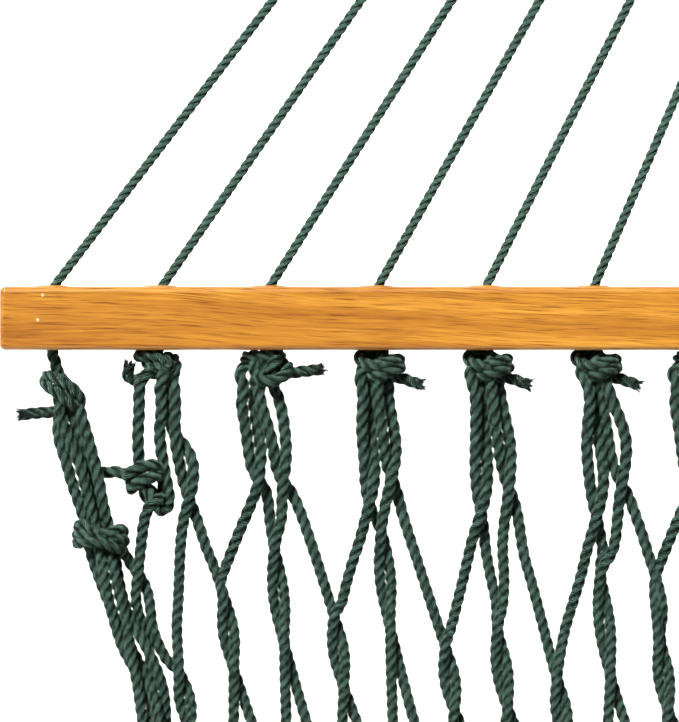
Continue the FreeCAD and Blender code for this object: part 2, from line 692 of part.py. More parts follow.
def build():
    """Every node of the object, by name."""
    nodes = {
        "base_coupler": base_coupler(),
        "upright_caps": Part.makeCompound([turned(upright_cap(), end) for end in (1, 2)]),
        "foot_caps": Part.makeCompound([turned(foot_cap(side), end) for side in (-1, 1) for end in (1, 2)]),
        "stand_bolts": at_bolt_places(bolt),
        "stand_nuts": at_bolt_places(nut),
        "quick_link_sleeves": both_ends(quick_sleeve),
        "gate_rivets": both_ends(gate_rivet),
        "bar_brads": both_ends(lambda: Part.makeCompound(bar_brads())),
        "net_bed": net_bed(),
        "edge_rope_left": edge_rope(1),
        "edge_rope_right": edge_rope(-1),
        "edge_wraps": Part.makeCompound([edge_wrap(side, end) for side in (-1, 1) for end in (1, 2)]),
    }
    for end in (1, 2):
        nodes[f"cross_foot_{end}"] = turned(cross_foot(), end)
        nodes[f"base_beam_{end}"] = turned(base_beam(), end)
        nodes[f"upright_{end}"] = turned(upright(), end)
        nodes[f"quick_link_{end}"] = at_end(quick_link(), end)
        nodes[f"chain_{end}"] = at_end(chain(), end)
        nodes[f"snap_hook_{end}"] = at_end(snap_hook(), end)
        nodes[f"snap_gate_{end}"] = at_end(snap_gate(), end)
        nodes[f"ring_{end}"] = at_end(o_ring(), end)
        nodes[f"clew_cords_{end}"] = at_end(clew_cords(), end)
        nodes[f"spreader_bar_{end}"] = at_end(spreader_bar(), end)
        nodes[f"bar_knots_{end}"] = at_end(bar_knots(), end)
        nodes[f"end_loops_{end}"] = at_end(end_loops(), end)
    return nodes


os.makedirs("parts", exist_ok=True)
for name, shape in build().items():
    if not shape.isValid():
        print("not valid:", name)
    shape.exportStep(f"parts/{name}.step")
print("hanger", round(HANGER_X, 2), round(HANGER_Z, 2), "lean", round(degrees(LEAN), 2))
gate_x = HANGER_X - GATE_X * cos(BED_SLOPE) - SNAP_WIDE / 2 * sin(BED_SLOPE)
gate_z = HANGER_Z - GATE_X * sin(BED_SLOPE) + SNAP_WIDE / 2 * cos(BED_SLOPE)
print("gate pivot", round(gate_x, 2), round(gate_z, 2))
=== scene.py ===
"""The looks of the rope hammock on its steel stand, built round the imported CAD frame.

Places in the net are given at one end's bar, in millimetres: across (along the bar), below (from the bar's
inner face, along the sagging bed) and lift (up off the bed). to_world() turns them into the frame's metres.
"""

from math import atan2, cos, hypot, pi, radians, sin, sqrt

import bpy
import numpy as np
from mathutils import Matrix, Vector


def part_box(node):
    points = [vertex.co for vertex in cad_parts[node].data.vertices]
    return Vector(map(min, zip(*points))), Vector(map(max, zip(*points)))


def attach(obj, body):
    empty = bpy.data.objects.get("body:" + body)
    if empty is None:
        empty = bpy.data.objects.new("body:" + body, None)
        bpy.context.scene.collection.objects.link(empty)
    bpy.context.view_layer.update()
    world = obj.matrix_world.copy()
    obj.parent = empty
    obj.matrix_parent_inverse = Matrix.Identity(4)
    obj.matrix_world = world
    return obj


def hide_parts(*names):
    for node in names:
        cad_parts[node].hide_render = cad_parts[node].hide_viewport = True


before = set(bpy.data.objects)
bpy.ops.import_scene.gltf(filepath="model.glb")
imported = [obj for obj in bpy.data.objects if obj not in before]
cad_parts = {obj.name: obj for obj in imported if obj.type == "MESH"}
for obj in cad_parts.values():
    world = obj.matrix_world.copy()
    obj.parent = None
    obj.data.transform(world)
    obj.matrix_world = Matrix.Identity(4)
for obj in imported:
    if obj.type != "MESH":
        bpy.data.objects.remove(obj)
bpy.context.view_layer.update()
rng = np.random.default_rng(24)

# Sizes, in millimetres

MM = 0.001
HOLE_COUNT = 24
HOLE_END = 27.5  # bar end to the first hole
BAR_WIDTH = 34.0  # along the holes
# Two places below the bar's inner face for each kind of rope, and there its radius, the length of one turn of
# its strands, and how light it looks. The net rope is fuller where it isn't pulled tight. The last value is
# how long a cut tail is, which darkens to TAIL_TONE at its end.
CORD = {"below": (-12, 0), "radius": (2.6, 3.35), "lay": (15.5, 17.5), "tone": (1.15, 0.98), "tail": 24}
ROPE = {"below": (60, 125), "radius": (3.45, 3.15), "lay": (20.5, 17.0), "tone": (1.0, 1.0), "tail": 0}
TAIL_TONE = 0.9
STRAND_OFF = 0.5  # a strand's middle from the rope's, and its radius, as shares of the rope's radius
STRAND_R = 0.53
STRAND_SHIFT = 5.3  # between the maps of a rope's strands, so that they differ
YARN_TURN = -0.035  # turns of the yarns round a strand in a millimetre
YARNS = 11  # round a strand
RING_R = 32.5  # to the middle of the ring's wire
RING_SPREAD = radians(132.0)  # how much of the ring the cords cover
RING_ROUND = 7.3  # from the middle of the ring's wire to the middle of a cord over it
RING_LEAVE = 8.0  # how far a cord runs straight off the ring before it turns to its hole
MOUTH_TURN = 33.0  # where a cord turns from its hole to the ring, above the bar's inner face
MOUTH_BEND = 6.0  # how far that bend reaches to either side
CORD_EASE = 30.0  # from each end of a cord's straight run to the control point that keeps it straight
WAIST_INSET = 155.0  # how far each long edge draws in at its middle
SLOTS_PER_HOLE = 4
SLOT_COUNT = 86  # ropes across the net, between the two edge bundles
ROWS = 17  # rows of twisted crossings between the ones next to each bar
FIRST_ROW = 265.0  # below the bar
EDGE_GAP = 41.0  # how far the edge draws in before it pushes the net's outermost rope
EDGE_SOFT = 8.0  # how gradually that push sets in
EDGE_SPREAD = 0.7  # how evenly it spreads across the net beside the bar
TWIST_OUT = 4.0  # control points of a twist stand this far off its middle
# Between the holes and under each hole in turn: how far below the bar, and a quarter of the twist's length
FIRST_TWISTS = ((147, 28), (175, 20), (132, 26), (162, 20), (122, 26), (177, 18), (172, 22), (194, 18))
CORNER_TWISTS = ((189, 16), (152, 20))  # the same for the outermost pair at either side, and for the second
BUNDLE_R = 4.4  # from the middle of an edge bundle to the middle of each of its ropes
BUNDLE_TURN = 2 * pi / 380.0  # how much an edge bundle twists in a millimetre
BUNDLE_ANGLE = 0.6  # of its first rope where the regular twist starts
BUNDLE_START = 215.0  # below the bar
BUNDLE_STEP = 45.0
# Of the net rope's turn round a bundle, and a little more, because the curve cuts inside its control points
HITCH_R = BUNDLE_R + 2 * ROPE["radius"][1] + 1.2
PICTURE_INSET = 155.0  # the middle of the camera's view: how far in from the first hole
PICTURE_BELOW = 5.9  # and how far below the bar
NEAR_REACH = 0.33  # metres from the middle of the picture that get separate strands
FINE_RINGS = 14  # rings in one turn of the strands, near the camera
FINE_SIDES = 12  # points round a strand
FRAY_YARNS = 26  # loose yarn ends at each cut tail
FRAY_LONG = (1.2, 3.4)  # how far the shortest and the longest of them stand out
FRAY_R = 0.42  # a yarn's radius
FAR_POINTS = 12  # points round a rope that is far off
FAR_STEP = 2  # a rope that is far off has one ring for this many near ones
NET_GROUP = 10  # ropes in one far piece of the net
NET_NEAR_GROUP = 7  # and in one near piece
CLEW_GROUP = 6  # cords in one far piece
CLEW_NEAR_GROUP = 2

# The bed's geometry, from the frame


def middle_of(node):
    low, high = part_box(node)
    return (low + high) / 2


bar_middle = middle_of("spreader_bar_1")
ring_middle = middle_of("ring_1")
pull = (ring_middle - bar_middle).normalized()  # from the bar up to the ring
facing = Vector((-pull.z, 0, pull.x))  # square to the plane of the bar and cords
bar_face = bar_middle - pull * (BAR_WIDTH / 2 * MM)
SLOPE = atan2(pull.z, pull.x)
BED_RADIUS = bar_face.x / sin(SLOPE)
BED_Z = bar_face.z - BED_RADIUS * (1 - cos(SLOPE))
BED_LENGTH = 2 * BED_RADIUS * SLOPE / MM
BAR_LENGTH = (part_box("spreader_bar_1")[1].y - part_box("spreader_bar_1")[0].y) / MM
HALF_BED = BED_LENGTH / 2
HOLE_PITCH = (BAR_LENGTH - 2 * HOLE_END) / (HOLE_COUNT - 1)
OUTER_HOLE = BAR_LENGTH / 2 - HOLE_END
RING_ABOVE = (ring_middle - bar_face).length / MM
SLOT_PITCH = HOLE_PITCH / SLOTS_PER_HOLE
ROW_PITCH = (BED_LENGTH - 2 * FIRST_ROW) / (ROWS - 1)


def to_world(points, end=1):
    """World places of points given as (across, below, lift) at one end's bar."""
    across, below, lift = np.asarray(points, float).T * MM
    turn = SLOPE - np.maximum(below, 0) / BED_RADIUS
    above = np.maximum(-below, 0)
    x = (BED_RADIUS - lift) * np.sin(turn) + above * cos(SLOPE)
    z = BED_Z + BED_RADIUS - (BED_RADIUS - lift) * np.cos(turn) + above * sin(SLOPE)
    side = 1 if end == 1 else -1
    return np.stack([side * x, -side * across, z], axis=1)


def hole_across(index):
    return (index - (HOLE_COUNT - 1) / 2) * HOLE_PITCH


def slot_across(slot):
    return (slot - (SLOT_COUNT - 1) / 2) * SLOT_PITCH


def edge_shift(below):
    """How far the net's edge lies inside the outermost hole."""
    return WAIST_INSET * (1 - (1 - below / HALF_BED) ** 2)


def drawn_in(across, below):
    """Where a rope lies that would run straight from the bar. The edge takes up its own gap before it pushes
    in the rope beside it, and that push spreads almost evenly near the bar."""
    past_gap = edge_shift(below) - EDGE_GAP
    push = past_gap / 2 + hypot(past_gap / 2, EDGE_SOFT)
    share = abs(across) / slot_across(SLOT_COUNT - 1)
    spread = 1 - EDGE_SPREAD * (1 - below / HALF_BED) ** 2
    return across - push * share**spread * (1 if across > 0 else -1)


picture_middle = Vector(to_world([(hole_across(0) + PICTURE_INSET, PICTURE_BELOW, 0)])[0])

# Ropes


def smooth_line(points, step):
    """Evenly spaced places, in metres, along the NURBS curve that has these control points."""
    curve = bpy.data.curves.new("route", "CURVE")
    curve.dimensions = "3D"
    curve.resolution_u = 12
    spline = curve.splines.new("NURBS")
    spline.points.add(len(points) - 1)
    for point, place in zip(spline.points, points):
        point.co = (*place, 1)
    spline.order_u = 3
    spline.use_endpoint_u = True
    holder = bpy.data.objects.new("route", curve)
    mesh = bpy.data.meshes.new_from_object(holder)
    line = np.empty(len(mesh.vertices) * 3)
    mesh.vertices.foreach_get("co", line)
    line = line.reshape(-1, 3)
    bpy.data.objects.remove(holder)
    bpy.data.curves.remove(curve)
    bpy.data.meshes.remove(mesh)
    along = lengths(line)
    count = max(4, round(along[-1] / (step * MM)) + 1)
    even = np.linspace(0, along[-1], count)
    return np.stack([np.interp(even, along, line[:, axis]) for axis in range(3)], axis=1)


def lengths(line):
    """Length from the start to each point of a line."""
    steps = np.linalg.norm(np.diff(line, axis=0), axis=1)
    return np.concatenate([[0], np.cumsum(steps)])


def unit(vectors):
    return vectors / np.maximum(np.linalg.norm(vectors, axis=1, keepdims=True), 1e-12)


def frames(line):
    """Two directions square to a line at each of its points, that don't spin round it."""
    heading = unit(np.gradient(line, axis=0))
    sides = np.empty_like(line)
    last = Vector(heading[0])
    side = last.orthogonal().normalized()
    for index, direction in enumerate(heading):
        current = Vector(direction)
        side.rotate(last.rotation_difference(current))
        side = (side - current * side.dot(current)).normalized()
        sides[index] = side
        last = current
    return sides, np.cross(heading, sides)


class Surface:
    """Closed tubes gathered into one mesh."""

    def __init__(self, name):
        self.name = name
        self.places = []
        self.faces = []
        self.maps = []
        self.crowns = []
        self.count = 0

    def add_tube(self, rings, along, crown, twist=0.0):
        """rings is an array of rings of points, and crown how far out each of them lies in the rope. along is
        each ring's place on the tube, for the map, and twist turns the map that much in a millimetre."""
        total, sides = rings.shape[:2]
        index = np.arange(total * sides).reshape(total, sides) + self.count
        after = np.roll(index, -1, axis=1)
        walls = np.stack([index[:-1], after[:-1], after[1:], index[1:]], axis=-1).reshape(-1, 4)
        u = np.arange(sides) / sides
        turn = (along * twist)[:, None]
        left = u[None, :] + turn
        right = left + 1 / sides
        v = np.repeat(along[:, None], sides, axis=1)
        near = np.stack([left[:-1], v[:-1]], axis=-1), np.stack([right[:-1], v[:-1]], axis=-1)
        far = np.stack([right[1:], v[1:]], axis=-1), np.stack([left[1:], v[1:]], axis=-1)
        self.maps.append(np.stack([*near, *far], axis=2).reshape(-1, 4, 2))
        ends = []
        for ring, flip in ((index[0], True), (index[-1], False)):
            for step in range(sides // 2 - 1):
                quad = [ring[step], ring[step + 1], ring[sides - 2 - step], ring[sides - 1 - step]]
                ends.append(quad[::-1] if flip else quad)
        self.maps.append(np.zeros((len(ends), 4, 2)))
        self.faces.extend([walls, np.array(ends)])
        self.places.append(rings.reshape(-1, 3))
        self.crowns.append(crown.ravel())
        self.count += total * sides

    def finish(self, material):
        places = np.concatenate(self.places).astype(np.float32)
        faces = np.concatenate(self.faces).astype(np.int32)
        mesh = bpy.data.meshes.new(self.name)
        mesh.vertices.add(len(places))
        mesh.vertices.foreach_set("co", places.ravel())
        mesh.loops.add(faces.size)
        mesh.loops.foreach_set("vertex_index", faces.ravel())
        mesh.polygons.add(len(faces))
        mesh.polygons.foreach_set("loop_start", np.arange(0, faces.size, 4, dtype=np.int32))
        layer = mesh.uv_layers.new(name="yarn")
        layer.data.foreach_set("uv", np.concatenate(self.maps).astype(np.float32).ravel())
        # How far out each point lies in its rope, which the rope material uses for painted shade between
        # strands
        crown = mesh.attributes.new("crown", "FLOAT", "POINT")
        crown.data.foreach_set("value", np.concatenate(self.crowns).astype(np.float32))
        mesh.update(calc_edges=True)
        mesh.shade_smooth()
        mesh.materials.append(material)
        piece = bpy.data.objects.new(self.name, mesh)
        bpy.context.scene.collection.objects.link(piece)
        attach(piece, "hammock")
        return piece


def circle(sides):
    angle = np.arange(sides) / sides * 2 * pi
    return angle, np.cos(angle), np.sin(angle)


def strand_tubes(surface, line, side, up, turn, along, radius, tone):
    """The three strands of a rope, each a tube that winds round the rope's middle line."""
    _, flat, tall = circle(FINE_SIDES)
    for strand in range(3):
        angle = (turn + strand * 2 * pi / 3)[:, None]
        out = np.cos(angle) * side + np.sin(angle) * up
        middle = line + out * (STRAND_OFF * radius[:, None])
        heading = unit(np.gradient(middle, axis=0))
        across = unit(np.cross(heading, out))
        rise = np.cross(across, heading)
        size = STRAND_R * radius[:, None, None]
        ring = flat[None, :, None] * rise[:, None] + tall[None, :, None] * across[:, None]
        rings = middle[:, None] + size * ring
        # How far out each point lies in the rope; the rope material turns this into painted shade between the
        # strands
        crown = np.linalg.norm(rings - line[:, None], axis=2) / radius[:, None]
        surface.add_tube(rings, along / MM + strand * STRAND_SHIFT, crown * tone[:, None], YARN_TURN)


def lobed_tube(surface, line, side, up, turn, along, radius, tone):
    """A whole rope as one tube with three lobes that wind along it."""
    angle, _, _ = circle(FAR_POINTS)
    off = (angle + pi / 3) % (2 * pi / 3) - pi / 3
    reach = STRAND_OFF * np.cos(off) + np.sqrt(STRAND_R**2 - (STRAND_OFF * np.sin(off)) ** 2)
    spin = turn[:, None] + angle[None, :]
    out = np.cos(spin)[..., None] * side[:, None] + np.sin(spin)[..., None] * up[:, None]
    rings = line[:, None] + radius[:, None, None] * reach[None, :, None] * out
    surface.add_tube(rings, along / MM, reach[None] * tone[:, None])


def lay_rope(points, kind, near, far):
    """A laid rope along control points in metres: separate strands near the camera, and a lobed tube
    elsewhere. Returns its length."""
    line = smooth_line(points, kind["lay"][0] / FINE_RINGS)
    side, up = frames(line)
    along = lengths(line)
    inward = bar_face.x - np.abs(line[:, 0])
    down = bar_face.z - line[:, 2]
    below = np.stack([inward, down], axis=1) @ np.array([pull.x, pull.z]) / MM
    radius, lay, tone = (np.interp(below, kind["below"], kind[what]) for what in ("radius", "lay", "tone"))
    if kind["tail"]:
        to_end = np.minimum(along, along[-1] - along) / MM
        tone = tone * np.interp(to_end, (0, kind["tail"]), (TAIL_TONE, 1))
    turn = rng.uniform(0, 2 * pi) + 2 * pi * np.cumsum(np.gradient(along) / (lay * MM))
    close = np.linalg.norm(line - np.array(picture_middle), axis=1) < NEAR_REACH
    edges = np.flatnonzero(np.diff(close.astype(int))) + 1
    starts = [0, *edges]
    stops = [*edges, len(line) - 1]
    for first, last in zip(starts, stops):
        step = 1 if close[first] else FAR_STEP
        part = np.unique(np.append(np.arange(first, last + 1, step), last))
        if len(part) > 2:
            lay_part = strand_tubes if close[first] else lobed_tube
            surface = near if close[first] else far
            lay_part(surface, *(values[part] for values in (line, side, up, turn, along, radius * MM, tone)))
    return along[-1]


def fray(surface, place, heading):
    """Loose yarn ends that stand out of a cut tail."""
    _, flat, tall = circle(6)
    side = Vector(heading).orthogonal().normalized()
    up = np.cross(heading, side)
    for _ in range(FRAY_YARNS):
        angle = rng.uniform(0, 2 * pi)
        share = sqrt(rng.uniform(0.02, 1))
        out = cos(angle) * np.array(side) + sin(angle) * up
        long = rng.uniform(*FRAY_LONG) * MM
        lean = heading + out * share * rng.uniform(0.1, 0.9) + rng.uniform(-0.3, 0.3, 3)
        start = place + out * (share * CORD["radius"][1] * 0.85 * MM) - heading * MM
        line = np.array([start, start + heading * MM, start + heading * MM + lean * long / 2])
        line = np.append(line, [line[-1] + (lean + rng.uniform(-0.4, 0.4, 3)) * long / 2], axis=0)
        thick = np.array([1, 1, 0.85, 0.5])[:, None, None] * (FRAY_R * MM)
        sides, ups = frames(line)
        ring = flat[None, :, None] * sides[:, None] + tall[None, :, None] * ups[:, None]
        rings = line[:, None] + thick * ring
        surface.add_tube(rings, lengths(line) / MM, np.full((4, 6), rng.uniform(0.7, 1.0)))


def shifted(points, across):
    return [(u + across, v, n) for u, v, n in points]


def mirrored(points):
    return [(-u, v, n) for u, v, n in points]


def far_end(points):
    """Points given at end 2's bar, as points at end 1's bar, in the order that reaches that bar last."""
    return [(-u, BED_LENGTH - v, n) for u, v, n in reversed(points)]


# Ropes under the bar, in millimetres from their hole. First the net ropes that hang from a
# hole's knot: a to d are its four legs, as they lie from left to right before they first cross.

LEGS_A = {
    "a": [
        (-4, 7, -2), (-10, 7.5, 0), (-16.5, 11.5, 2), (-13.5, 17.5, 4), (-13.8, 24, 3), (-14.6, 30, 3),
        (-12.7, 39, 3), (-11.5, 48, 2.5), (-10.4, 57, 1), (-8.5, 66, -2), (-1.3, 75, -4), (0.2, 84, -4),
        (0.6, 91, -4),
    ],
    "b": [
        (-7, 4, 1), (-7.5, 8, 5), (-7, 14, 3), (-7.3, 20, -1.5), (-8.2, 27, -3.5), (-6.3, 39, -3),
        (-4.9, 48, -1.5), (-3.8, 54, 1), (-4.3, 62, 3.5), (-5.6, 74, 4.5), (-10.6, 86, 4), (-17, 101, 2),
        (-22, 114, 0), (-26.5, 126, -1),
    ],
    "c": [
        (-3, 4, 3), (-3.5, 8, 6), (-3.8, 13, 4), (-4.6, 18, 2.5), (-5, 24, 3.5), (-3.4, 31, 3.5),
        (0, 42, 3.5), (2.3, 51, 3), (3.6, 60, 0), (5.4, 68, -3.5), (12.4, 76, -4), (17.6, 88, -2),
        (22, 101, -1), (26, 113, 0), (30, 126, 1),
    ],
    "d": [
        (5.5, 3.5, 4), (2, 8, 7), (0, 12.5, 4), (0.6, 17, -1), (4.4, 22.5, -2.5), (7.6, 34, -2), (9, 45, -1),
        (9.7, 54, 1), (9.4, 62, 3.5), (7.9, 70, 4.5), (7.3, 81, 4), (7.4, 91, 4),
    ],
}
LEGS_B = {
    "a": [
        (-2, 8, 0), (-6.5, 8.5, 3), (-9, 12.5, 3), (-8.6, 18, 3.5), (-7.2, 24, 3.5), (-7.6, 31, 3),
        (-8.1, 42, 3), (-7.5, 51, 2.5), (-6.6, 60, 1.5), (-6.3, 69, -1), (-5.4, 78, -4), (-2.8, 87, -4.5),
    ],
    "b": [
        (-3, 12, -3), (-4.8, 22, -3.5), (-3.9, 36, -3.5), (-2.4, 48, -3), (-1.4, 57, 0), (-0.9, 66, 3),
        (-1.8, 75, 4.5), (-4.8, 86, 4.5), (-8.9, 102, 2), (-12.7, 113, 1), (-16.5, 126, 0), (-19, 138, -1),
    ],
    "c": [
        (4.5, 2.5, -2), (2.8, 2.5, 3.5), (1.5, 8, 4), (0.8, 14, 2), (0.2, 19, 4), (0.3, 24, 4), (1.5, 33, 4),
        (2.7, 42, 4), (3.9, 51, 3.5), (4.8, 60, 0.5), (8.1, 69, -3.5), (11.2, 77, -4), (13.8, 88, -3),
        (18.1, 102, -1), (21.8, 113, 0), (25.8, 126, 1),
    ],
    "d": [
        (4, 3, -3), (6, 9, -5), (6.8, 16, -4), (6, 25, -4), (8.1, 36, -3.5), (9.8, 45, -2.5),
        (10.6, 54, -0.5), (9.6, 63, 3), (7.4, 71, 4.5), (5.2, 81, 4.5), (3.4, 90, 4),
    ],
}
LEGS_C = {
    "a": [
        (-2, 8, 0), (-6, 8.5, 3), (-8.5, 12.5, 3), (-7, 18, 3), (-4.9, 24, 3), (-4.9, 38, 3),
        (-5.1, 51, 2.5), (-5.3, 64, 1), (-4.4, 77, -1), (-1.8, 88, -4), (-0.4, 98, -4), (0.4, 108, -3.5),
        (3, 122, -3.5), (6.6, 137, -4),
    ],
    "b": [
        (-3, 10, -2), (-2, 22, -3.5), (0, 38, -3.5), (1, 51, -3), (1.5, 62, -1), (1.3, 73, 3),
        (-0.6, 83, 4.5), (-3.5, 91.5, 4), (-7, 102, 2), (-10.5, 118, 0), (-14.9, 136, -1), (-18.6, 151, -1),
    ],
    "c": [
        (3.5, 3, -2), (3, 3, 4), (2.6, 9, 6), (2.8, 15, 4), (3.6, 22, 3), (5.2, 38, 3.5), (7.1, 51, 3.5),
        (8.9, 62, 0), (12, 73, -4), (16, 81, -3.5), (18.4, 93, -1), (20.6, 110, 0), (24.8, 124, 0),
        (30, 144, 0), (34.2, 161, 0),
    ],
    "d": [
        (4, 3, -3), (6, 9, -5), (7.6, 17, -5), (9, 28, -3), (11.6, 39, -2), (13.9, 51, -1), (14, 62, 2),
        (13.1, 73, 4), (11.6, 84, 4), (10, 95, 3), (9.2, 106, 2), (10.4, 123, 2), (9.6, 138, 3),
    ],
}
LEGS_D = {
    "a": [
        (-2, 8, 0), (-6, 8.5, 3), (-7, 13, 3), (-3, 18, 4), (-1.6, 28, 3.5), (-3.2, 40, 3.5), (-3.7, 54, 3),
        (-2.4, 67, 1.5), (-0.9, 79, -1), (1.9, 90, -4), (4.4, 101, -4), (5.6, 110, -4),
    ],
    "b": [
        (-3, 10, -2), (-2.5, 20, -4), (0.6, 34, -4), (3.4, 48, -3.5), (5, 60, 0), (5.7, 70, 3),
        (4.5, 79.5, 4.5), (2.3, 88, 4), (-0.4, 97, 3), (-3.4, 107, 1.5), (-6.4, 121, 0), (-11, 136, -1),
        (-16, 152, -1),
    ],
    "c": [
        (3.5, 3, -2), (2, 3, 4), (0.5, 9, 6), (2, 15, 2), (4.5, 24, -2), (5.8, 32, -3), (7.6, 43, -3.5),
        (9.2, 54, -4), (11.2, 63.5, -4), (15.2, 71.5, -4), (19.4, 79, -2), (22.5, 88, -1), (26, 98, 0),
        (30.5, 113, 0), (35, 126, 0), (38, 141, 0),
    ],
    "d": [
        (4, 3, -3), (5.5, 9, 0), (6.2, 14, 4), (7.6, 20, 4), (10.5, 28, 3.5), (14, 36.5, 3), (17, 45, 3),
        (17.9, 53, 3), (17.3, 61, 3), (15.6, 70, 3.5), (13.9, 79.5, 4), (12.9, 90, 4), (12, 101, 3),
        (10, 110, 3.5),
    ],
}
# The cords' knots, from inside the hole to the cut tail: two kinds, then those of the first and second hole
KNOT_A = [
    (0, -9, 0), (0, -1, -1), (5.5, 2, -4), (7, 3.3, 2), (0, 3, 5.5), (-9, 3, 4.5), (-13.5, 4, 0),
    (-8, 7, -5.5), (1, 8, -6), (9, 7, -3), (11, 9.5, 2), (9.5, 13.5, 6.5), (3, 17, 8.5), (-4.5, 16.5, 7),
    (-6, 12.5, 1), (-1, 11, -5), (6, 12, -5), (11, 12.6, -1), (18, 11.5, 0), (24, 11, 0), (28, 10.3, 0.5),
]
KNOT_B = [
    (0, -9, 0), (0, -1, -2), (-4, 2, -5), (-9, 2.5, -2), (-9.5, 5, 3), (-5.5, 8, 5), (0, 8.8, 6.5),
    (5, 7.4, 8.5), (10.5, 5.2, 7), (13, 5, 0), (8, 5.5, -5), (0, 5.4, -6), (-6, 8.6, -4), (-4.5, 12.5, 0),
    (-1.5, 14.2, 4.5), (4, 12.8, 8), (9.5, 10.4, 8.5), (13.3, 9, 3), (12, 9.5, -3.5), (6, 12, -6),
    (1.5, 13.5, -5), (8, 14.3, -3), (14, 15.2, -1), (19, 17, 0), (23.5, 18.6, 1),
]
HOLE_1_CORD = [
    (0, -9, 0), (-0.2, 0.5, 0), (1.7, 6, 0), (2.6, 11, -1), (5, 16, -4), (10, 21, -5.5), (14, 26, -4),
    (14.4, 30, 1.5), (11, 29.3, 6), (7.5, 26, 7.5), (2.5, 22.5, 7.5), (-1.8, 19.5, 5.5), (-3.8, 17.5, 0),
    (-3.5, 15, -3.5), (-2.5, 13.8, 1), (0.5, 14.5, 6), (5, 16.2, 8), (10.5, 19.5, 8), (14.4, 24, 6),
    (15.8, 28, 0), (13, 31, -5), (6, 33, -6), (0, 33.5, -3.5), (-8, 33.8, -1), (-16, 34.8, 0),
]
HOLE_2_CORD = [
    (0, -9, 0), (0, -1, -2), (-5, 2, -5), (-12, 2.3, -2.5), (-11, 3.6, 4), (-3, 3.2, 6.5), (4, 5.5, 6.5),
    (6, 10, 6), (0, 9.5, 6.5), (-7, 7.5, 3), (-7, 6, -4), (1, 5, -6), (6.5, 3.5, -3), (8.6, 7, 1),
    (8.4, 12, 3), (5.5, 15, 0), (1, 14, -5), (-4, 12, -6), (-8.5, 14.2, -2), (-12.5, 16.6, 0),
    (-17.2, 15.5, 1), (-17.6, 11.5, 1), (-16.6, 8.5, 1),
]
# Ropes from the second hole that join the edge bundle, the second one through the lacing knot's loops
EXIT_ROPE = [
    (3, 3, 1), (2.8, 8, 5), (2, 14, 6), (-0.2, 20, 5), (0.8, 27, 3.5), (0.6, 36, 3), (-0.4, 44, 3),
    (0.4, 53, 2.5), (1.6, 61, 1), (2.8, 68, 0), (4.3, 75, 0), (5.2, 81, 0), (3.5, 86.3, 1), (-0.5, 86.8, 3),
    (-3, 82.5, 4.5), (-5, 77.5, 5), (-8, 73, 3), (-9.5, 72, -2), (-6, 75.5, -5), (-1, 79, -4),
    (1.5, 80.2, 1), (-1.2, 80.6, 6.5), (-5, 83, 7), (-7.5, 88, 4.5), (-8.8, 93.5, 3.5), (-9.6, 100, 3),
    (-10.4, 108, 3.5), (-11.2, 116, 4.5), (-12.4, 125, 4.5), (-13.2, 135, 2), (-11, 145, -2), (-7, 155, -5),
    (-5.5, 166, -6.5), (-5, 178, -6), (-3, 190, -4), (0, 203, -3), (5, 216, -2),
]
LEFT_LEG = [
    (3, 4, 1), (-1, 8, 3), (-5, 11.5, 5), (-10.5, 16, 4.5), (-11.4, 23, 3), (-11.2, 32, 2.5), (-11.7, 40, 2),
    (-12, 48, 2), (-11.8, 56, 0), (-11.2, 63, -3), (-10, 70, -4), (-9.2, 76, -3), (-6.5, 81, -1.5),
    (-2.5, 84.5, -2.5), (1.5, 83, -4.5), (2, 76, -6), (0.5, 69, -5), (1.2, 64.5, 0), (-2.5, 61.8, 5),
    (-8.8, 62.3, 7), (-14.8, 64.6, 5.5), (-18, 69, 1.5), (-15, 71.5, -6), (-8, 70, -8), (-1.5, 66.5, -5),
    (0, 67.5, 2), (-3.5, 68.3, 7), (-9, 70, 8), (-14, 73.3, 5), (-16.3, 75.5, 0), (-13.5, 71, -6),
    (-18, 67, -7), (-24.3, 65.2, -7), (-31, 66.3, -9), (-40, 66, -11),
]
# Ropes from the second hole that go into the net, as its second and third from the edge
SECOND_ROPE = [
    (3, 6, -2), (3, 14, -4), (4, 25, -4), (4.5, 38, -4), (8, 46, -3.5), (14.5, 53, -2), (18, 61, 1.5),
    (18.2, 71, 4.5), (15.6, 81, 4.5), (12.6, 91, 3), (11, 104, 1), (10.4, 118, 0), (9.9, 135, 0),
    (8.8, 150, 1.5),
]
THIRD_ROPE = [
    (5, 5, 1), (6, 11, 2), (7, 16, 1.5), (8, 23, 2.5), (8.4, 31, 3), (8, 40, 3), (8, 47, 3), (9.2, 55, 2.5),
    (10.6, 63, 0), (12.8, 73, -4), (17, 84, -4), (20.5, 93, -1), (24.5, 106, 0), (29, 116.5, -1),
]
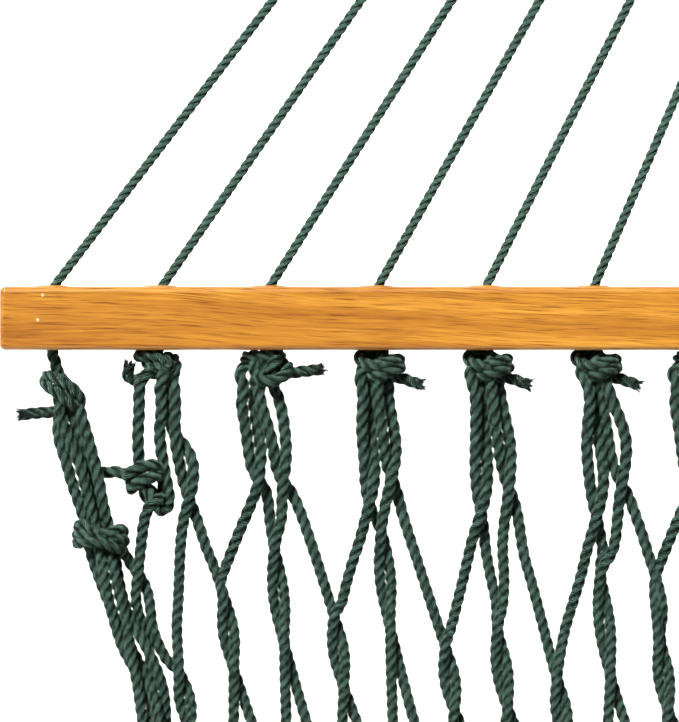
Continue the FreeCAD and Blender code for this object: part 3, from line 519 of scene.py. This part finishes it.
# The four ropes of an edge bundle, from the first hole's knot
EDGE_LEGS = [
    [
        (6, 27, -3), (4, 33, -3), (3, 41, -2), (3.8, 49, -1), (7.4, 59, 0), (10.2, 70, 0), (14.2, 81, 1),
        (17.8, 92, 1), (20, 106, 0), (23.2, 117, -2), (27.2, 128, -4.5), (31.5, 139, -5), (37, 150, -5),
        (43, 161, -5), (49, 172, -4), (54, 183, -0.5), (57.3, 194, 4), (59, 206, 5),
    ],
    [
        (4, 20, 3), (4, 25, 4.5), (4.2, 31, 4), (5.3, 37, 3), (8, 45, 2.5), (11.5, 53, 3), (15.2, 61, 3.5),
        (17.8, 71, 3.5), (20, 82, 3), (23, 94, 2.5), (25.8, 107, 4.5), (27.8, 117, 5), (29.6, 128, 4.5),
        (31.8, 139, 3), (34.7, 150, 1), (38.2, 161, -2), (44, 171, -4), (50, 182, -4.5), (55, 194, -5),
    ],
    [
        (9, 28, 0), (11, 35, -2), (13.3, 43, -3), (16, 52, -3), (19.3, 62, -3.5), (21.9, 72, -3.5),
        (23.6, 83, -3.5), (26.5, 94, -3), (30.8, 106, 2), (33.3, 117, 3.5), (35.8, 128, 4), (38.6, 139, 4.5),
        (41.4, 148, 5), (42, 158, 4.5), (43.7, 168, 3.5), (46.3, 179, 3), (47.8, 190, 2.5), (49.5, 202, 1),
    ],
    [
        (14, 29, 2), (15.5, 34, 2.5), (17.5, 41, 2.5), (20, 49, 2), (22.3, 58, 2), (25.2, 68, 2.5),
        (26.8, 79, 3), (29.5, 91, 2), (33.3, 104, -2), (34.8, 117, -3.5), (37.2, 130, -2.5), (41, 142, 0.5),
        (46.8, 152.5, 4.5), (52.4, 162, 5), (57, 172, 4), (60.2, 182, 1), (61.5, 192, -2), (61.5, 203, -4),
    ],
]
# The net's outermost rope: it wraps the edge bundle, then goes into the net
WRAP_ROPE = [
    (33, 98.5, -6), (24, 97, -9), (17, 95.3, -6), (14, 95.2, 2), (16.2, 93.8, 8), (20, 94.8, 10),
    (24.3, 98.2, 10.5), (28.5, 99.8, 10.5), (33, 98.2, 10), (36.8, 96.2, 7.5), (39.2, 98, 1), (35, 100, -8),
    (25, 101, -9.5), (17, 100.5, -7), (13.2, 99.5, 0), (15.2, 98.6, 7.5), (18.8, 100, 9.5), (23, 102, 8.5),
    (28, 101, 7), (33.5, 100.8, 9.5), (37.6, 101.6, 7.5), (40, 103, 1), (35, 103.8, -9), (25, 104, -10),
    (17, 104, -7), (13.2, 104, 0), (15.4, 103.2, 7.5), (19.5, 103.5, 10), (24.5, 102.8, 11),
    (29.5, 104.2, 10.5), (34, 106, 8.5), (37.3, 106.8, 4), (38, 108, -1), (40.8, 112.5, -3), (44, 118, -4),
    (48.5, 123, -3.5), (51.8, 130, -1), (53.3, 139, 1), (54, 149, 1.5), (58, 160, 0), (62.5, 168, -2.5),
]

# The net


def twist_points(middle, below, quarter, left):
    """Where one rope of a pair passes round the other: a full right-handed turn."""
    out = 1 if left else -1
    return [
        (middle, below - quarter, -TWIST_OUT * out),
        (middle + TWIST_OUT * out, below, 0),
        (middle, below + quarter, TWIST_OUT * out),
    ]


def first_twist(slot):
    """Place below the bar and a quarter of the length of a rope's twist next to the bar."""
    pair = slot // 2
    if pair in (0, SLOT_COUNT // 2 - 1):
        return CORNER_TWISTS[0]
    if pair == 1:
        return CORNER_TWISTS[1]
    return FIRST_TWISTS[pair % len(FIRST_TWISTS)]


def hole_of(slot):
    """The hole that a rope of the net hangs from, past the first three ropes."""
    return 2 + (slot - 3) // SLOTS_PER_HOLE


def head(slot):
    """The start of one rope of the net, from its knot to where it goes into its first twist."""
    if slot > SLOT_COUNT - 4:
        return mirrored(head(SLOT_COUNT - 1 - slot))
    if slot == 0:
        return shifted(WRAP_ROPE, hole_across(0))
    if slot < 3:
        return shifted((SECOND_ROPE, THIRD_ROPE)[slot - 1], hole_across(1))
    hole = hole_of(slot)
    legs = (LEGS_C, LEGS_D, LEGS_A, LEGS_B)[hole % 4]
    leg = "badc"[(slot - 3) % SLOTS_PER_HOLE]  # their order across the net, once each pair has crossed
    return shifted(legs[leg], hole_across(hole))


def twist_at(slot, partner, below, quarter):
    """Control points of a twist between two neighbouring ropes of the net."""
    between = (slot_across(slot) + slot_across(partner)) / 2
    middle = drawn_in(between, below)
    points = twist_points(middle, below, quarter, slot < partner)
    lean = drawn_in(between, below + quarter) - middle
    return [(u + lean * (v - below) / quarter, v, n) for u, v, n in points]


def end_points(slot):
    """A rope's points at the end where its slot is counted, down to its first twist."""
    below, quarter = first_twist(slot)
    partner = slot + 1 if slot % 2 == 0 else slot - 1
    return head(slot) + twist_at(slot, partner, below, quarter)


def net_rope(slot):
    """All the points of one rope of the net, from bar to bar."""
    points = end_points(slot)
    quarter = ROW_PITCH / 4
    for row in range(ROWS):
        below = FIRST_ROW + row * ROW_PITCH
        partner = slot + 1 if (slot + row) % 2 else slot - 1
        place = drawn_in(slot_across(slot), below - 2 * quarter)
        points.append((place, below - 2 * quarter, 0))
        if 0 <= partner < SLOT_COUNT:
            points += twist_at(slot, partner, below, quarter)
        else:
            points += edge_hitch(slot, below)
    place = drawn_in(slot_across(slot), BED_LENGTH - FIRST_ROW + 2 * quarter)
    points.append((place, BED_LENGTH - FIRST_ROW + 2 * quarter, 0))
    return points + far_end(end_points(SLOT_COUNT - 1 - slot))


def bundle_across(below):
    """Where the middle of the left edge's bundle lies."""
    return edge_shift(min(below, BED_LENGTH - below)) - OUTER_HOLE


def edge_hitch(slot, below):
    """One turn round the edge bundle."""
    side = 1 if slot == 0 else -1
    turn = [
        (HITCH_R + 3, -15, 2), (4, -7, HITCH_R), (-HITCH_R, -5, HITCH_R * 0.8), (-HITCH_R, 1, -HITCH_R * 0.8),
        (2, 4, -HITCH_R), (HITCH_R, 5, 0), (HITCH_R + 3, 16, -2),
    ]
    return [(side * (bundle_across(below + v) + u), below + v, n) for u, v, n in turn]


def edge_rope(leg):
    """All the points of one rope of the left edge bundle, the same at both ends."""
    start = shifted(EDGE_LEGS[leg], hole_across(0))
    half = []
    below = BUNDLE_START
    while below < HALF_BED:
        angle = leg * pi / 2 + (below - BUNDLE_START) * BUNDLE_TURN + BUNDLE_ANGLE
        half.append((bundle_across(below) + BUNDLE_R * cos(angle), below, BUNDLE_R * sin(angle)))
        below += BUNDLE_STEP
    one = start + half
    two = [(u, BED_LENGTH - v, n) for u, v, n in reversed(one)]
    return one + two


# Materials


def new_material(name, colour, roughness, **sockets):
    """A material whose shader has these plain values."""
    material = bpy.data.materials.new(name)
    material.use_nodes = True
    shader = material.node_tree.nodes["Principled BSDF"]
    shader.inputs["Base Color"].default_value = (*colour, 1)
    shader.inputs["Roughness"].default_value = roughness
    for socket, value in sockets.items():
        shader.inputs[socket.replace("_", " ")].default_value = value
    return material


class Nodes:
    """Short calls for a material's nodes."""

    def __init__(self, material):
        self.tree = material.node_tree
        self.shader = self.tree.nodes["Principled BSDF"]

    def add(self, kind, inputs=None, **settings):
        node = self.tree.nodes.new("ShaderNode" + kind)
        for setting, value in settings.items():
            setattr(node, setting, value)
        for socket, value in (inputs or {}).items():
            if isinstance(value, bpy.types.NodeSocket):
                self.tree.links.new(value, node.inputs[socket])
            else:
                node.inputs[socket].default_value = value
        return node

    def noise(self, scale, detail, stretch=(1, 1, 1)):
        where = self.add("TexCoord").outputs["Object"]
        where = self.add("Mapping", {"Vector": where, "Scale": stretch}).outputs[0]
        return self.add("TexNoise", {"Vector": where, "Scale": scale, "Detail": detail}).outputs["Fac"]

    def ramp(self, factor, stops):
        """A colour ramp. stops holds a colour, given as 0 to 255, for each place on it."""
        node = self.add("ValToRGB", {"Fac": factor})
        band = node.color_ramp
        while len(band.elements) < len(stops):
            band.elements.new(0.5)
        for element, (place, colour) in zip(band.elements, stops.items()):
            element.position = place
            element.color = (*srgb(*colour), 1)
        return node.outputs["Color"]

    def math(self, operation, first, second=0.0, third=0.0):
        node = self.add("Math", {0: first, 1: second, 2: third}, operation=operation)
        return node.outputs[0]

    def bump(self, height, distance, strength=1.0, normal=None):
        inputs = {"Height": height, "Distance": distance, "Strength": strength}
        if normal is not None:
            inputs["Normal"] = normal
        return self.add("Bump", inputs).outputs["Normal"]

    def link(self, socket, value):
        self.tree.links.new(value, self.shader.inputs[socket])


def srgb(red, green, blue):
    """Linear colour from a colour given as 0 to 255."""
    parts = (red / 255, green / 255, blue / 255)
    return tuple(part / 12.92 if part <= 0.04 else ((part + 0.055) / 1.055) ** 2.4 for part in parts)


ROPE_GREEN = srgb(46, 68, 57)
ROPE_SHEEN = {"Sheen_Weight": 0.3, "Sheen_Roughness": 0.15, "Specular_IOR_Level": 0.12}


def yarn_height(nodes):
    """Ridges of the yarns in a strand, a little uneven, from -1 to 1."""
    where = nodes.add("UVMap").outputs["UV"]
    parts = nodes.add("SeparateXYZ", {"Vector": where})
    wander = nodes.noise(900, 2)
    turn = nodes.math("MULTIPLY_ADD", parts.outputs["X"], YARNS * 2 * pi, nodes.math("MULTIPLY", wander, 5.0))
    return nodes.math("SINE", turn)


def rope_material():
    """Matt green acrylic rope: yarn ridges, fuzz, painted shade between its strands and between its yarns,
    and painted highlights on the ridges of its yarns.
    """
    material = new_material("green_rope", ROPE_GREEN, 0.7, Sheen_Tint=(*srgb(170, 205, 188), 1), **ROPE_SHEEN)
    nodes = Nodes(material)
    yarn = yarn_height(nodes)
    crown = nodes.add("Attribute", attribute_name="crown").outputs["Fac"]
    # Painted shade between the strands and yarns and painted highlights on their ridges, over uneven patches:
    # about 0.7 on a strand's crown and 0.1 between strands, and 0.3 more or less over its yarns
    patchy = nodes.math("MULTIPLY_ADD", nodes.noise(330, 4), 0.7, -1.07)
    shade = nodes.math("MULTIPLY_ADD", yarn, 0.3, nodes.math("MULTIPLY_ADD", crown, 1.4, patchy))
    # The darkest colours are painted shade between the strands, and the lightest are painted highlights on
    # the yarn ridges
    shades = {0.15: (3, 8, 5), 0.5: (16, 32, 24), 0.75: (24, 45, 35), 1.0: (110, 148, 130)}
    colour = nodes.ramp(shade, shades)
    nodes.link("Base Color", colour)
    fuzz = nodes.bump(nodes.noise(5200, 2), 0.00014, 0.6)
    nodes.link("Normal", nodes.bump(yarn, 0.0004, 1.0, fuzz))
    return material


def far_rope_material():
    """The same rope for runs away from the camera, in one shade."""
    tint = (*srgb(190, 214, 203), 1)
    material = new_material("green_rope_far", ROPE_GREEN, 0.7, Sheen_Tint=tint, **ROPE_SHEEN)
    nodes = Nodes(material)
    nodes.link("Normal", nodes.bump(nodes.noise(1500, 2), 0.0003, 0.5))
    return material


def grain_place(nodes, across, along):
    """Coordinates for wood, stretched along the bar. The grain wanders and runs out slowly across it."""
    where = nodes.add("TexCoord").outputs["Object"]
    parts = [
        nodes.add("VectorMath", {0: where, 1: axis}, operation="DOT_PRODUCT").outputs["Value"]
        for axis in (pull, Vector((0, 1, 0)), facing)
    ]
    wander = nodes.math("MULTIPLY_ADD", nodes.noise(4.5, 1, (0.2, 1, 0.2)), 0.026, parts[0])
    wander = nodes.math("MULTIPLY_ADD", parts[1], -0.05, wander)
    scaled = ((wander, across), (parts[1], along), (parts[2], across))
    stretched = [nodes.math("MULTIPLY", part, scale) for part, scale in scaled]
    return nodes.add("CombineXYZ", dict(enumerate(stretched))).outputs[0]


def grain(nodes, across, along, detail, roughness=0.55):
    """Noise drawn out along the grain. across and along are its scales."""
    where = grain_place(nodes, across, along)
    inputs = {"Vector": where, "Scale": 1.0, "Detail": detail, "Roughness": roughness}
    return nodes.add("TexNoise", inputs).outputs["Fac"]


def oak_material():
    """Oak under honey varnish: long grain, darker streaks and pores, and a clear coat."""
    honey = srgb(178, 116, 36)
    gloss = {"Coat_Weight": 0.4, "Coat_Roughness": 0.14, "Specular_IOR_Level": 0.3}
    material = new_material("varnished_oak", honey, 0.45, **gloss)
    nodes = Nodes(material)
    fine = grain(nodes, 760, 26, 5, 0.65)
    mixed = nodes.math("MULTIPLY_ADD", grain(nodes, 75, 3.2, 3), 0.5, nodes.math("MULTIPLY", fine, 0.5))
    shades = {0.36: (144, 84, 19), 0.45: (167, 106, 27), 0.53: (180, 119, 33), 0.64: (203, 143, 49)}
    colour = nodes.ramp(mixed, shades)
    pores = nodes.ramp(grain(nodes, 1500, 38, 2), {0.33: (150, 104, 60), 0.45: (255, 255, 255)})
    mix = nodes.add("Mix", {0: 0.7, 6: colour, 7: pores}, data_type="RGBA", blend_type="MULTIPLY")
    nodes.link("Base Color", mix.outputs[2])
    nodes.link("Normal", nodes.bump(fine, 0.0002, 0.25))
    return material


def paint_material():
    """Dark powder coat with fine orange peel."""
    material = new_material("powder_coat", (0.045, 0.042, 0.04), 0.42, Specular_IOR_Level=0.5)
    nodes = Nodes(material)
    nodes.link("Roughness", nodes.math("MULTIPLY_ADD", nodes.noise(40, 4), 0.16, 0.34))
    nodes.link("Normal", nodes.bump(nodes.noise(1400, 2), 0.00025, 0.35))
    return material


def metal_material(name, colour, roughness):
    """Bare or plated steel with a faint uneven polish."""
    material = new_material(name, colour, roughness, Metallic=1.0)
    nodes = Nodes(material)
    nodes.link("Roughness", nodes.math("MULTIPLY_ADD", nodes.noise(300, 4), 0.2, roughness - 0.1))
    nodes.link("Normal", nodes.bump(nodes.noise(1200, 2), 0.0001, 0.2))
    return material


def soft_material(name, colour, roughness):
    """Rubber or moulded plastic with a fine grain."""
    material = new_material(name, colour, roughness, Specular_IOR_Level=0.4)
    nodes = Nodes(material)
    nodes.link("Roughness", nodes.math("MULTIPLY_ADD", nodes.noise(120, 3), 0.15, roughness - 0.08))
    nodes.link("Normal", nodes.bump(nodes.noise(2600, 2), 0.00015, 0.4))
    return material


green_rope = rope_material()
far_rope = far_rope_material()
by_slot = {
    "stand_paint": paint_material(),
    "inner_steel": metal_material("inner_steel", (0.5, 0.5, 0.51), 0.4),
    "bolt_steel": metal_material("bolt_steel", (0.6, 0.6, 0.62), 0.35),
    "rubber": soft_material("rubber", (0.03, 0.03, 0.03), 0.75),
    "plastic": soft_material("plastic", (0.04, 0.04, 0.04), 0.5),
    "zinc_steel": metal_material("zinc_steel", (0.5, 0.51, 0.53), 0.34),
    "oak": oak_material(),
    "brad_steel": metal_material("brad_steel", (0.95, 0.8, 0.5), 0.45),
}
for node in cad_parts.values():
    node.data.shade_smooth()
    for place in node.material_slots:
        slot_name = place.material.name.split(".")[0]
        if slot_name in by_slot:
            place.material = by_slot[slot_name]

# The ropes in place

near_pieces = {}


def near_surface(name):
    """The near piece with this name, begun when it is first asked for."""
    if name not in near_pieces:
        near_pieces[name] = Surface(name)
    return near_pieces[name]


def build_net():
    """The net's ropes, a few to a piece. Returns their length."""
    total = 0.0
    for first in range(0, SLOT_COUNT, NET_GROUP):
        far = Surface(f"net_ropes_{first // NET_GROUP + 1:02d}")
        for slot in range(first, min(first + NET_GROUP, SLOT_COUNT)):
            near = near_surface(f"net_ropes_near_{slot // NET_NEAR_GROUP + 1}")
            total += lay_rope(to_world(net_rope(slot)), ROPE, near, far)
        piece = far.finish(far_rope)
        if first == 0:
            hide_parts("net_bed", "end_loops_1", "end_loops_2")
    return total


def build_edges():
    """The two edge bundles, and the ropes that join them from the second hole of each corner. Returns the
    length of the bundles' own ropes."""
    total = 0.0
    for name, flip in (("left", False), ("right", True)):  # left is the +Y side
        far = Surface(f"edge_bundle_{name}")
        near = near_surface("edge_bundle_near")
        for leg in range(len(EDGE_LEGS)):
            points = edge_rope(leg)
            points = mirrored(points) if flip else points
            total += lay_rope(to_world(points), ROPE, near, far)
        for end in (1, 2):
            left_of_bar = flip == (end == 2)  # end 2 is turned half round, so its left is the other bundle
            for route in (EXIT_ROPE, LEFT_LEG):
                points = shifted(route, hole_across(1))
                points = points if left_of_bar else mirrored(points)
                lay_rope(to_world(points, end), ROPE, near, far)
        piece = far.finish(far_rope)
        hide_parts(f"edge_rope_{name}")
        if name == "left":
            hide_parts("edge_wraps")
    return total


def knot_route(hole):
    """A cord's points from inside its hole, through the knot, to its cut tail."""
    if hole > HOLE_COUNT - 3:
        return mirrored(knot_route(HOLE_COUNT - 1 - hole))
    if hole < 2:
        return (HOLE_1_CORD, HOLE_2_CORD)[hole]
    return KNOT_A if hole % 4 == 2 else KNOT_B


def clew_route(loop):
    """One cord: from its cut tail through a knot, up over the ring and down to the next knot and tail."""
    angle = (loop / (HOLE_COUNT / 2 - 1) - 0.5) * RING_SPREAD
    halves = []
    for hole, side in ((2 * loop, 1), (2 * loop + 1, -1)):
        below = shifted(knot_route(hole), hole_across(hole))
        wire = np.array([RING_R * sin(angle), -RING_ABOVE + RING_R * cos(angle), 0])
        out = np.array([sin(angle), cos(angle), 0])
        lift = np.array([0, 0, side * RING_ROUND])
        leave = wire + out * RING_LEAVE + lift
        mouth = np.array([hole_across(hole), -MOUTH_TURN, 0])
        run = leave - mouth
        ahead = run / np.linalg.norm(run)
        inside = mouth + np.array([0, MOUTH_BEND, 0])
        straight = [inside, mouth, mouth + ahead * MOUTH_BEND]
        straight += [mouth + ahead * CORD_EASE, leave - ahead * CORD_EASE, leave]
        # The curve cuts inside its control points, so these stand a little further off
        over = [wire + lift * 1.03, wire - out * RING_ROUND * 1.05 + lift * 0.9]
        halves.append([*reversed(below), *straight, *over])
    return np.array([*halves[0], *reversed(halves[1])])


def build_clews():
    """The cords of both ends, with their knots under the bars. Returns their length."""
    total = 0.0
    for end in (1, 2):
        for part in range(2):
            far = Surface(f"clew_cords_{end}_{'ab'[part]}")
            for loop in range(part * CLEW_GROUP, (part + 1) * CLEW_GROUP):
                near = near_surface(f"clew_cords_near_{loop // CLEW_NEAR_GROUP + 1}")
                points = to_world(clew_route(loop), end)
                total += lay_rope(points, CORD, near, far)
                for place, before in ((points[0], points[1]), (points[-1], points[-2])):
                    is_near = np.linalg.norm(place - np.array(picture_middle)) < NEAR_REACH
                    heading = (place - before) / np.linalg.norm(place - before)
                    fray(near if is_near else far, place, heading)
            piece = far.finish(far_rope)
            if part == 0:
                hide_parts(f"clew_cords_{end}", f"bar_knots_{end}")
    return total


net_length = build_net()
edge_length = build_edges()
clew_length = build_clews()
for surface in near_pieces.values():
    if surface.count:
        surface.finish(green_rope)
rope_lengths = {"net": net_length, "edges": edge_length, "clews": clew_length}
print("rope in metres:", {name: round(long, 2) for name, long in rope_lengths.items()})

# Stage, light and camera, in metres

FLOOR_HALF = 40.0
CAMERA_AWAY = 2.6
PICTURE_TALL = 0.3893  # what the picture shows from top to bottom, at the bar
STUDIO_SHADES = ((0.06, 1.0), (0.22, 0.1))  # heights of a direction, and how bright the studio is there


def build_floor():
    mesh = bpy.data.meshes.new("floor")
    corners = [(x * FLOOR_HALF, y * FLOOR_HALF, 0) for x, y in ((-1, -1), (1, -1), (1, 1), (-1, 1))]
    mesh.from_pydata(corners, [], [(0, 1, 2, 3)])
    mesh.materials.append(new_material("pale_floor", (0.94, 0.94, 0.94), 0.9))
    floor = bpy.data.objects.new("floor", mesh)
    bpy.context.scene.collection.objects.link(floor)


def add_sun(name, energy, angle, toward):
    """A sun that shines from the direction toward. angle is how wide it looks, in degrees."""
    sun = bpy.data.lights.new(name, "SUN")
    sun.energy = energy
    sun.angle = radians(angle)
    light = bpy.data.objects.new(name, sun)
    light.rotation_euler = toward.to_track_quat("Z", "Y").to_euler()
    bpy.context.scene.collection.objects.link(light)


def build_light():
    """A soft key from the ring's side and a little left, a weak fill from the bed's side, and a studio that
    is white low down and dim overhead."""
    world = bpy.data.worlds.new("studio")
    bpy.context.scene.world = world
    world.use_nodes = True
    tree = world.node_tree
    where = tree.nodes.new("ShaderNodeTexCoord")
    parts = tree.nodes.new("ShaderNodeSeparateXYZ")
    band = tree.nodes.new("ShaderNodeValToRGB")
    for element, (height, shade) in zip(band.color_ramp.elements, STUDIO_SHADES):
        element.position = height
        element.color = (shade, shade, shade, 1)
    tree.links.new(where.outputs["Generated"], parts.inputs[0])
    tree.links.new(parts.outputs["Z"], band.inputs[0])
    tree.links.new(band.outputs[0], tree.nodes["Background"].inputs["Color"])
    left = Vector((0, 1, 0))
    add_sun("key", energy=6.9, angle=12, toward=facing * 0.62 + pull * 0.58 + left * 0.3)
    add_sun("fill", energy=0.9, angle=50, toward=facing * 0.50 - pull * 0.85 + left * 0.1)


def build_camera():
    """Square to the plane of the bar and cords, over the bar's end."""
    data = bpy.data.cameras.new("camera")
    data.sensor_width = 36
    data.lens = data.sensor_width * CAMERA_AWAY / PICTURE_TALL
    data.clip_start = 0.01
    camera = bpy.data.objects.new("camera", data)
    bpy.context.scene.collection.objects.link(camera)
    right = Vector((0, -1, 0))
    camera.location = picture_middle + facing * CAMERA_AWAY
    camera.rotation_euler = Matrix((right, pull, facing)).transposed().to_euler()
    bpy.context.scene.camera = camera


build_floor()
build_light()
build_camera()
bpy.context.scene.view_settings.view_transform = "Standard"
